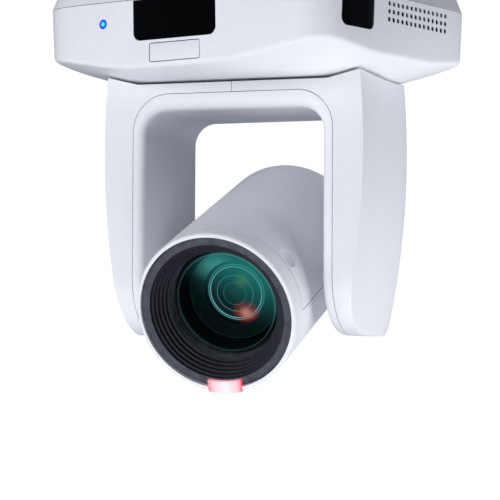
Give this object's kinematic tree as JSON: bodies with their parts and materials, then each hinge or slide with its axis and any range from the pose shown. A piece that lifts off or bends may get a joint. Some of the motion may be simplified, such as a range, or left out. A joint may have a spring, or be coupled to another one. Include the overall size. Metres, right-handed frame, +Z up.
{
  "type": "ptz camera",
  "caption": "Ceiling-hung pan-tilt-zoom camera: rectangular base with sockets, U-shaped yoke and a barrel-shaped zoom camera head.",
  "frame": {"origin": "mouth of the tripod socket, on the pan axis, in the mounting face that meets the ceiling bracket", "axes": "+Z up along the pan axis towards the ceiling, -Y out of the front face of the base, +X out of its right-hand side as seen from the front"},
  "size_m": [0.181, 0.151, 0.2137],
  "materials": {
    "white_plastic": "fine satin moulded",
    "black_gloss": "polished infrared-clear",
    "black_plastic": "fine satin",
    "plated_steel": "zinc plated",
    "cast_alloy": "machined and blasted",
    "brass": "turned",
    "circuit_board": "solder mask",
    "belt_rubber": "moulded",
    "coated_glass": "anti-reflection coated",
    "filter_glass": "infrared cut",
    "blue_led": "clear moulded, lit",
    "tally_red": "translucent, lit"
  },
  "bodies": {
    "base": {"ceiling_cover": "white_plastic", "mount_plate": "cast_alloy", "tripod_bushing": "brass", "base_shell": "white_plastic", "front_window": "black_gloss", "left_side_window": "black_gloss", "right_side_window": "black_gloss", "name_plate": "white_plastic", "status_led": "blue_led", "base_chassis": "cast_alloy", "main_board": "circuit_board", "heat_sink": "cast_alloy", "socket_board": "circuit_board", "socket_plate": "black_plastic", "power_socket": "black_plastic", "network_socket": "plated_steel", "hdmi_socket": "plated_steel", "usb_socket": "plated_steel", "sdi_socket": "plated_steel", "serial_socket": "black_plastic", "audio_socket": "black_plastic", "fan_frame": "black_plastic", "pan_motor": "black_plastic", "pan_belt": "belt_rubber", "pan_bearing": "plated_steel", "base_screws": "plated_steel", "cover_screws": "plated_steel", "plate_screws": "plated_steel"},
    "fan": {"fan_rotor": "black_plastic"},
    "pan_drive": {"pan_motor_pulley": "plated_steel"},
    "yoke": {"pan_spindle": "cast_alloy", "pan_pulley": "cast_alloy", "pan_retaining_ring": "plated_steel", "yoke_frame": "cast_alloy", "left_arm_cover": "white_plastic", "right_arm_cover": "white_plastic", "front_arch_liner": "white_plastic", "rear_arch_liner": "white_plastic", "tilt_bearings": "plated_steel", "tilt_motor": "black_plastic", "tilt_belt": "belt_rubber", "yoke_screws": "plated_steel"},
    "tilt_drive": {"tilt_motor_pulley": "plated_steel"},
    "head": {"lower_head_shell": "white_plastic", "upper_head_shell": "white_plastic", "lens_ring": "black_plastic", "front_lens": "coated_glass", "lens_barrel": "black_plastic", "iris": "black_plastic", "lens_motors": "plated_steel", "sensor_board": "circuit_board", "head_frame": "cast_alloy", "left_tilt_shaft": "plated_steel", "right_tilt_shaft": "plated_steel", "tilt_pulley": "cast_alloy", "tally_light": "tally_red", "head_screws": "plated_steel"},
    "zoom_group": {"zoom_lens_group": "coated_glass"},
    "focus_group": {"focus_lens_group": "coated_glass"},
    "filter_slide": {"infrared_filter": "filter_glass"}
  },
  "joints": [
    {"name": "pan", "type": "hinge", "parent": "base", "child": "yoke", "pos_m": [0, 0, -0.0555], "axis": [0, 0, 1], "range_deg": [-185, 155]},
    {"name": "tilt", "type": "hinge", "parent": "yoke", "child": "head", "pos_m": [0, 0, -0.1505], "axis": [0.9659, 0.2588, 0], "range_deg": [-51.5, 68.5]},
    {"name": "pan_motor_spin", "type": "hinge", "parent": "base", "child": "pan_drive", "pos_m": [0, -0.0483, -0.0475], "axis": [0, 0, 1], "range_deg": [-700, 700]},
    {"name": "tilt_motor_spin", "type": "hinge", "parent": "yoke", "child": "tilt_drive", "pos_m": [0.05544, 0.01486, -0.1045], "axis": [0.9659, 0.2588, 0], "range_deg": [-110, 140]},
    {"name": "zoom_slide", "type": "slide", "parent": "head", "child": "zoom_group", "axis": [0.2408, -0.8987, -0.3665], "range_m": [-0.016, 0.006]},
    {"name": "focus_slide", "type": "slide", "parent": "head", "child": "focus_group", "axis": [0.2408, -0.8987, -0.3665], "range_m": [-0.008, 0.008]},
    {"name": "filter_shift", "type": "slide", "parent": "head", "child": "filter_slide", "axis": [0.9659, 0.2588, 0], "range_m": [-0.012, 0]},
    {"name": "fan_spin", "type": "hinge", "parent": "base", "child": "fan", "pos_m": [0.077, 0.013, -0.024], "axis": [1, 0, 0], "continuous": true}
  ],
  "couplings": [
    {"joint": "pan_motor_spin", "follows": "pan", "ratio": 3.75},
    {"joint": "tilt_motor_spin", "follows": "tilt", "ratio": 2}
  ]
}
